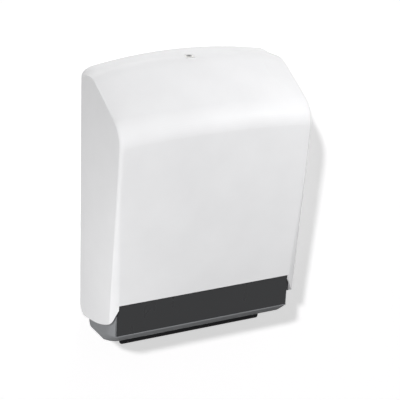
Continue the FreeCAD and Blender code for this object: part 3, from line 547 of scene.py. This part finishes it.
def mix_colours(tree, share, first, second):
    """Colour between two, each a socket or a value."""
    made = node(tree, "Mix", {"Factor": share}, data_type="RGBA")
    for socket, value in ((made.inputs[6], first), (made.inputs[7], second)):
        if isinstance(value, bpy.types.NodeSocket):
            tree.links.new(value, socket)
        else:
            socket.default_value = value
    return made.outputs[2]


def shade(colour, factor):
    """Opaque colour, made lighter or darker."""
    return (*(min(part * factor, 1.0) for part in colour), 1.0)


def worn_edges(tree, amount):
    """Share from 0 on flat faces to amount on crisp edges."""
    pointed = node(tree, "NewGeometry").outputs["Pointiness"]
    return spread(tree, pointed, 0.0, amount, 0.52, 0.62)


def bump(tree, height, distance, strength):
    """Normal of a surface raised by a height."""
    made = node(tree, "Bump", {"Height": height, "Distance": distance, "Strength": strength})
    return made.outputs["Normal"]


def plastic(name, colour, finish, roughness, uneven, grain, depth, wear, gloss=0.5):
    """Moulded plastic: clouded colour, a fine grain, uneven gloss and rubbed edges."""
    material, tree, shader, place = new_material(name)
    clouds = noise(tree, place, 16.0, 3.0)
    body = mix_colours(tree, spread(tree, clouds, 0, 1), shade(colour, 1 - finish.variation),
                       shade(colour, 1 + finish.variation))
    rubbed = mix_colours(tree, worn_edges(tree, wear), body, shade(colour, 1.35))
    tree.links.new(rubbed, shader.inputs["Base Color"])
    handled = noise(tree, place, 55.0, 4.0, (1, 1, 0.35))
    tree.links.new(spread(tree, handled, roughness - uneven, roughness + uneven),
                   shader.inputs["Roughness"])
    fine = bump(tree, noise(tree, place, grain, 2.0), depth, 0.6)
    tree.links.new(fine, shader.inputs["Normal"])
    shader.inputs["IOR"].default_value = 1.5
    shader.inputs["Specular IOR Level"].default_value = gloss
    return material


def gloss_plastic(name, colour, finish):
    """Polished moulding, with the slight unevenness of its tool."""
    return plastic(name, colour, finish, roughness=finish.gloss_roughness, uneven=0.025,
                   grain=1400.0, depth=0.002 * MM, wear=0.06)


def metal(name, colour, roughness, brush, tint):
    """Plated metal: brushed lines, cloudy plating and brighter edges."""
    material, tree, shader, place = new_material(name)
    clouds = noise(tree, place, 180.0, 3.0)
    plating = mix_colours(tree, spread(tree, clouds, 0, 1), shade(colour, 0.9), tint)
    bright = mix_colours(tree, worn_edges(tree, 0.6), plating, shade(colour, 1.3))
    tree.links.new(bright, shader.inputs["Base Color"])
    lines = noise(tree, place, 900.0, 2.0, brush)
    tree.links.new(spread(tree, lines, roughness - 0.08, roughness + 0.12),
                   shader.inputs["Roughness"])
    tree.links.new(bump(tree, lines, 0.01 * MM, 0.5), shader.inputs["Normal"])
    shader.inputs["Metallic"].default_value = 1.0
    return material


def rubber(name, colour, finish):
    """Matt rubber with a dusty bloom."""
    material, tree, shader, place = new_material(name)
    bloom = noise(tree, place, 300.0, 4.0)
    dusty = mix_colours(tree, spread(tree, bloom, 0, 0.5), shade(colour, 1), shade(colour, 2.6))
    tree.links.new(dusty, shader.inputs["Base Color"])
    tree.links.new(spread(tree, bloom, 0.75, 0.92), shader.inputs["Roughness"])
    tree.links.new(bump(tree, noise(tree, place, 2500.0, 2.0), 0.03 * MM, 0.5),
                   shader.inputs["Normal"])
    return material


def dress(material, *names):
    """Gives carried-over nodes a finish."""
    for name in names:
        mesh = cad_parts[name].data
        for index in range(len(mesh.materials)):
            mesh.materials[index] = material


class DISPENSER_OT_base(bpy.types.Operator):
    """Finish the grey base and its anthracite apron and outlet rim"""
    bl_idname = "dispenser.base"
    bl_label = "Base"

    def execute(self, context):
        finish = context.scene.dispenser_finish
        dress(plastic("Grained grey moulding", finish.base_colour, finish, roughness=0.55,
                      uneven=0.06, grain=2200.0, depth=0.02 * MM, wear=0.25, gloss=0.06),
              "base_tub")
        dress(plastic("Satin anthracite moulding", finish.apron_colour, finish, roughness=0.3,
                      uneven=0.04, grain=1500.0, depth=0.004 * MM, wear=0.0, gloss=0.35),
              "apron_panel")
        dress(plastic("Satin anthracite rim", finish.rim_colour, finish, roughness=0.5,
                      uneven=0.06, grain=1800.0, depth=0.02 * MM, wear=0.1, gloss=0.1),
              "outlet_rim")
        return {"FINISHED"}


class DISPENSER_OT_inside(bpy.types.Operator):
    """Finish the wall plate, the towel guides, the bushes and the pads"""
    bl_idname = "dispenser.inside"
    bl_label = "Inside parts"

    def execute(self, context):
        finish = context.scene.dispenser_finish
        dress(plastic("Grained plate moulding", finish.plate_colour, finish, roughness=0.5,
                      uneven=0.06, grain=2000.0, depth=0.03 * MM, wear=0.25), "wall_plate")
        dress(plastic("Satin guide moulding", finish.guide_colour, finish, roughness=0.4,
                      uneven=0.05, grain=2600.0, depth=0.02 * MM, wear=0.25),
              "towel_guide_right", "towel_guide_left")
        dress(plastic("Natural acetal", finish.bush_colour, finish, roughness=0.3,
                      uneven=0.05, grain=3000.0, depth=0.01 * MM, wear=0.2),
              "hinge_bush_right", "hinge_bush_left")
        dress(rubber("Black pad rubber", finish.pad_colour, finish), "cover_pads")
        return {"FINISHED"}


class DISPENSER_OT_metalwork(bpy.types.Operator):
    """Finish the lock, the pins, the strike, the push nuts and the screws"""
    bl_idname = "dispenser.metalwork"
    bl_label = "Lock and metalwork"

    def execute(self, context):
        finish = context.scene.dispenser_finish
        bright = (0.84, 0.83, 0.8, 1.0)
        dull = (0.28, 0.28, 0.28, 1.0)
        warm = (0.62, 0.6, 0.55, 1.0)
        blue = (0.58, 0.61, 0.66, 1.0)
        dress(metal("Nickel plated lock", finish.lock_colour, roughness=0.2, brush=(1, 1, 12),
                    tint=bright), "lock_barrel", "lock_nut")
        dress(metal("Dull nickel plug", finish.plug_colour, roughness=0.3, brush=(1, 1, 12),
                    tint=dull), "lock_plug")
        dress(metal("Zinc plated steel", finish.steel_colour, roughness=0.34, brush=(1, 12, 1),
                    tint=blue),
              "base_screws", "apron_push_nuts", "rim_screws", "pin_retainers", "guide_screws",
              "latch_strike", "strike_screws", "lock_cam", "lock_washer", "lock_cam_screw")
        dress(metal("Drawn steel pin", finish.steel_colour, roughness=0.3, brush=(0.1, 3, 3),
                    tint=warm), "hinge_pin_right", "hinge_pin_left")
        return {"FINISHED"}


# ---------------------------------------------------------------- studio
def one_sided(name, colour, glow):
    """Pale backdrop that only shows its front, only to the camera, and keeps shadows."""
    material = bpy.data.materials.new(name)
    material.use_nodes = True
    tree = material.node_tree
    tree.nodes.clear()
    matt = node(tree, "BsdfDiffuse", {"Color": shade(colour, 1)})
    light = node(tree, "Emission", {"Color": shade((1, 1, 1), 1), "Strength": glow})
    face = node(tree, "AddShader")
    tree.links.new(matt.outputs[0], face.inputs[0])
    tree.links.new(light.outputs[0], face.inputs[1])
    camera = node(tree, "LightPath").outputs["Is Camera Ray"]
    back = node(tree, "NewGeometry").outputs["Backfacing"]
    front = node(tree, "Math", {0: 1.0, 1: back}, operation="SUBTRACT").outputs[0]
    seen = node(tree, "Math", {0: camera, 1: front}, operation="MULTIPLY").outputs[0]
    shown = node(tree, "MixShader", {0: seen})
    clear = node(tree, "BsdfTransparent")
    tree.links.new(clear.outputs[0], shown.inputs[1])
    tree.links.new(face.outputs[0], shown.inputs[2])
    output = node(tree, "OutputMaterial")
    tree.links.new(shown.outputs[0], output.inputs["Surface"])
    return material


def sheet(name, corners, material):
    """Flat stage piece through four corners, facing the way they turn."""
    mesh = bpy.data.meshes.new(name)
    mesh.from_pydata([tuple(corner) for corner in corners], [], [(0, 1, 2, 3)])
    mesh.materials.append(material)
    piece = bpy.data.objects.new(name, mesh)
    bpy.context.scene.collection.objects.link(piece)
    return piece


def spare_backdrop(backdrop, *lamps):
    """Keeps the fill lamps' light off the backdrop, so that only the key lamp's shadow falls."""
    spared = bpy.data.collections.new("Backdrop")
    for piece in backdrop:
        spared.objects.link(piece)
    for entry in spared.collection_objects:
        entry.light_linking.link_state = "EXCLUDE"
    for lamp in lamps:
        lamp.light_linking.receiver_collection = spared


def add_sun(name, towards, strength, angle):
    """Far lamp whose light travels along a direction."""
    lamp = bpy.data.lights.new(name, "SUN")
    lamp.energy = strength * math.pi
    lamp.angle = angle
    sun = bpy.data.objects.new(name, lamp)
    sun.rotation_mode = "QUATERNION"
    sun.rotation_quaternion = Vector(towards).to_track_quat("-Z", "Y")
    sun.visible_glossy = False
    bpy.context.scene.collection.objects.link(sun)
    return sun


def add_softbox(name, place, level):
    """Square lamp that faces the cover's middle, at a level as seen from there."""
    lamp = bpy.data.lights.new(name, "AREA")
    lamp.size = SOFTBOX_WIDTH
    lamp.energy = level * math.pi ** 2 * Vector(place).length_squared
    box = bpy.data.objects.new(name, lamp)
    box.location = place
    box.rotation_mode = "QUATERNION"
    box.rotation_quaternion = (-Vector(place)).to_track_quat("-Z", "Y")
    box.visible_camera = False
    box.visible_glossy = False
    bpy.context.scene.collection.objects.link(box)
    return box


def add_world(above, below):
    """White to the camera and in reflections, and a soft light to the rest, less from below."""
    world = bpy.data.worlds.new("Studio")
    bpy.context.scene.world = world
    world.use_nodes = True
    tree = world.node_tree
    tree.nodes.clear()
    path = node(tree, "LightPath")
    seen = path.outputs["Is Camera Ray"]
    for kind in ("Is Glossy Ray", "Is Transmission Ray"):
        seen = node(tree, "Math", {0: seen, 1: path.outputs[kind]}, operation="MAXIMUM").outputs[0]
    height = node(tree, "SeparateXYZ", {0: node(tree, "TexCoord").outputs["Generated"]}).outputs[2]
    soft = spread(tree, height, below, above, -0.3, 1.0)
    plain = node(tree, "Math", {0: seen, 1: soft}, operation="MAXIMUM").outputs[0]
    sky = node(tree, "Background", {"Color": (1, 1, 1, 1), "Strength": plain})
    output = node(tree, "OutputWorld")
    tree.links.new(sky.outputs[0], output.inputs["Surface"])


def add_camera(studio):
    """Camera at the studio's place, turned by heading, pitch and roll."""
    data = bpy.data.cameras.new("Camera")
    data.lens = studio.lens
    data.sensor_width = SENSOR_WIDTH
    camera = bpy.data.objects.new("Camera", data)
    yaw, pitch, roll = studio.camera_turn
    forward = Vector((math.sin(yaw) * math.cos(pitch), math.cos(yaw) * math.cos(pitch),
                      math.sin(pitch)))
    level = Vector((math.cos(yaw), -math.sin(yaw), 0))
    upright = level.cross(forward)
    right = level * math.cos(roll) + upright * math.sin(roll)
    top = upright * math.cos(roll) - level * math.sin(roll)
    turned = Matrix((right, top, -forward)).transposed()
    camera.matrix_world = Matrix.Translation(studio.camera_place) @ turned.to_4x4()
    bpy.context.scene.collection.objects.link(camera)
    bpy.context.scene.camera = camera


class DISPENSER_OT_stage(bpy.types.Operator):
    """Set up the wall, the floor, the lamps and the camera"""
    bl_idname = "dispenser.stage"
    bl_label = "Studio"

    def execute(self, context):
        studio = context.scene.dispenser_studio
        pale = one_sided("Pale backdrop", studio.wall_colour, studio.wall_glow)
        reach = studio.wall_reach
        floor = -studio.floor_drop
        back = sheet("wall", [(-reach, WALL_GAP, floor), (reach, WALL_GAP, floor),
                              (reach, WALL_GAP, reach), (-reach, WALL_GAP, reach)], pale)
        ground = sheet("floor", [(-reach, -reach, floor), (reach, -reach, floor),
                                 (reach, reach, floor), (-reach, reach, floor)], pale)
        add_sun("Key lamp", studio.key_direction, studio.key_light, studio.key_angle)
        rear = add_sun("Rear lamp", REAR_DIRECTION, studio.rear_light, REAR_ANGLE)
        left = add_softbox("Left softbox", LEFT_PLACE, studio.left_light)
        right = add_softbox("Right softbox", RIGHT_PLACE, studio.right_light)
        spare_backdrop((back, ground), rear, left, right)
        add_world(studio.light_above, studio.light_below)
        add_camera(studio)
        context.scene.view_settings.view_transform = "Standard"
        return {"FINISHED"}


# ---------------------------------------------------------------- settings
def length(name, description, default):
    """Setting for a length."""
    return bpy.props.FloatProperty(name=name, description=description, default=default,
                                   min=0, unit="LENGTH", precision=4)


def colour(name, description, default):
    """Setting for a colour."""
    return bpy.props.FloatVectorProperty(name=name, description=description, default=default,
                                         min=0, max=1, subtype="COLOR")


def amount(name, description, default, high=4.0):
    """Setting for a plain number from 0."""
    return bpy.props.FloatProperty(name=name, description=description, default=default,
                                   min=0, max=high, subtype="FACTOR")


class CoverSize(bpy.types.PropertyGroup):
    """Roundings of the white cover"""
    crease_radius: length("Crease radius", "Rounding between slope and front", 40 * MM)
    back_across: length("Back across", "Side rounding across the roof, at the wall", 14 * MM)
    back_inward: length("Back inward", "Side rounding down the side, at the wall", 14 * MM)
    slope_across: length("Slope across", "Side rounding across the slope", 40 * MM)
    slope_inward: length("Slope inward", "Side rounding into the side, at the slope", 6 * MM)
    crease_across: length("Crease across", "Side rounding across the crease", 12 * MM)
    crease_inward: length("Crease inward", "Side rounding into the side, at the crease", 4.5 * MM)
    front_across: length("Front across", "Side rounding across the top of the front", 6 * MM)
    front_inward: length("Front inward", "Side rounding into the side, low on the front", 4.5 * MM)
    narrow_height: length("Narrow height", "Height where the rounding starts to widen", 224 * MM)
    wide_height: length("Wide height", "Height below which the rounding is widest", 118 * MM)
    panel_top: length("Panel top", "Height where the flat front's side edge fades out", 150 * MM)
    panel_inset_top: length("Panel inset at top", "Side to the flat front, at its top", 5.1 * MM)
    panel_inset_foot: length("Panel inset at foot", "Side to the flat front, at its foot",
                             11.6 * MM)
    panel_fold: bpy.props.FloatProperty(
        name="Panel fold", description="Fold along the flat front's side edge, at its foot",
        default=math.radians(14), min=0, subtype="ANGLE", unit="ROTATION")
    blend_length: length("Blend length", "Distance over which the side rounding changes", 12 * MM)
    edge_softness: length("Edge softness", "Rounding of the moulding's cut edges", 0.5 * MM)


class Finish(bpy.types.PropertyGroup):
    """Colours and finishes"""
    cover_colour: colour("Cover", "White of the cover", (0.84, 0.84, 0.85))
    base_colour: colour("Base", "Grey of the base", (0.235, 0.24, 0.25))
    apron_colour: colour("Apron", "Anthracite of the front apron", (0.015, 0.0155, 0.017))
    rim_colour: colour("Outlet rim", "Anthracite of the outlet rim", (0.016, 0.016, 0.018))
    plate_colour: colour("Wall plate", "Grey of the wall plate", (0.42, 0.42, 0.43))
    guide_colour: colour("Towel guides", "Grey of the towel guides", (0.58, 0.58, 0.59))
    bush_colour: colour("Bushes", "Natural colour of the bushes", (0.8, 0.78, 0.7))
    pad_colour: colour("Pads", "Black of the rubber pads", (0.02, 0.02, 0.02))
    lock_colour: colour("Lock", "Bright nickel of the lock", (0.86, 0.86, 0.85))
    plug_colour: colour("Lock plug", "Dull nickel of the lock's plug", (0.24, 0.24, 0.245))
    steel_colour: colour("Steel", "Zinc plating of the steel parts", (0.6, 0.61, 0.62))
    gloss_roughness: amount("Gloss roughness", "Roughness of the gloss white", 0.24, 1)
    variation: amount("Variation", "How much a moulding's colour clouds", 0.02, 0.2)


class Studio(bpy.types.PropertyGroup):
    """Wall, floor, lamps and camera"""
    wall_colour: colour("Wall", "Pale colour of the wall and the floor", (0.9, 0.89, 0.9))
    wall_glow: amount("Wall glow", "Light added to the wall and the floor for the camera", 0.63)
    wall_reach: length("Wall reach", "Half the wall's width", 6.0)
    floor_drop: length("Floor drop", "Middle of the wall screws to the floor", 1.3)
    key_light: amount("Key light", "Level of the key lamp", 0.58)
    key_angle: bpy.props.FloatProperty(
        name="Key angle", description="How wide the key lamp looks, which softens its shadows",
        default=math.radians(3.5), min=0, subtype="ANGLE", unit="ROTATION")
    key_direction: bpy.props.FloatVectorProperty(
        name="Key direction", description="Which way the key light travels",
        default=(0.865, 1.0, -0.84), subtype="DIRECTION")
    left_light: amount("Left light", "Level of the softbox on the left", 0.327)
    right_light: amount("Right light", "Level of the softbox high on the right", 0.504)
    rear_light: amount("Rear light", "Level of the lamp above and behind the wall", 0.6)
    light_above: amount("Light from above", "Soft light that falls from straight above", 0.148)
    light_below: amount("Light from below", "Soft light that rises from straight below", 0)
    lens: bpy.props.FloatProperty(
        name="Lens", description="Focal length of the camera", default=133.42, min=1,
        unit="CAMERA")
    camera_place: bpy.props.FloatVectorProperty(
        name="Camera place", description="Where the camera stands",
        default=(-0.90914, -1.75896, 0.69888), unit="LENGTH", subtype="TRANSLATION")
    camera_turn: bpy.props.FloatVectorProperty(
        name="Camera turn", description="Heading from +Y towards +X, pitch and roll",
        default=[math.radians(angle) for angle in (28.4188, -20.7643, 2.0381)],
        subtype="EULER")


OPERATORS = (DISPENSER_OT_cover, DISPENSER_OT_base, DISPENSER_OT_inside,
             DISPENSER_OT_metalwork, DISPENSER_OT_stage)
SETTINGS = (("dispenser_cover", CoverSize), ("dispenser_finish", Finish),
            ("dispenser_studio", Studio))


class DISPENSER_PT_panel(bpy.types.Panel):
    """Lists the settings and the steps"""
    bl_idname = "DISPENSER_PT_panel"
    bl_label = "Towel Dispenser"
    bl_space_type = "VIEW_3D"
    bl_region_type = "UI"
    bl_category = "Dispenser"

    def draw(self, context):
        for operator in OPERATORS:
            self.layout.operator(operator.bl_idname)
        for name, group in SETTINGS:
            box = self.layout.box()
            box.label(text=group.__doc__)
            for key in group.__annotations__:
                box.prop(getattr(context.scene, name), key)


def register():
    """Adds the settings, the operators and the panel to Blender."""
    for _, group in SETTINGS:
        bpy.utils.register_class(group)
    for name, group in SETTINGS:
        setattr(bpy.types.Scene, name, bpy.props.PointerProperty(type=group))
    for cls in (*OPERATORS, DISPENSER_PT_panel):
        bpy.utils.register_class(cls)


def unregister():
    """Takes them out again, in the opposite order."""
    for cls in (DISPENSER_PT_panel, *reversed(OPERATORS)):
        bpy.utils.unregister_class(cls)
    for name, group in reversed(SETTINGS):
        delattr(bpy.types.Scene, name)
        bpy.utils.unregister_class(group)


def main():
    """Builds the dispenser's skin, finishes and studio."""
    register()
    bpy.ops.dispenser.cover()
    bpy.ops.dispenser.base()
    bpy.ops.dispenser.inside()
    bpy.ops.dispenser.metalwork()
    bpy.ops.dispenser.stage()


if __name__ == "__main__":
    main()
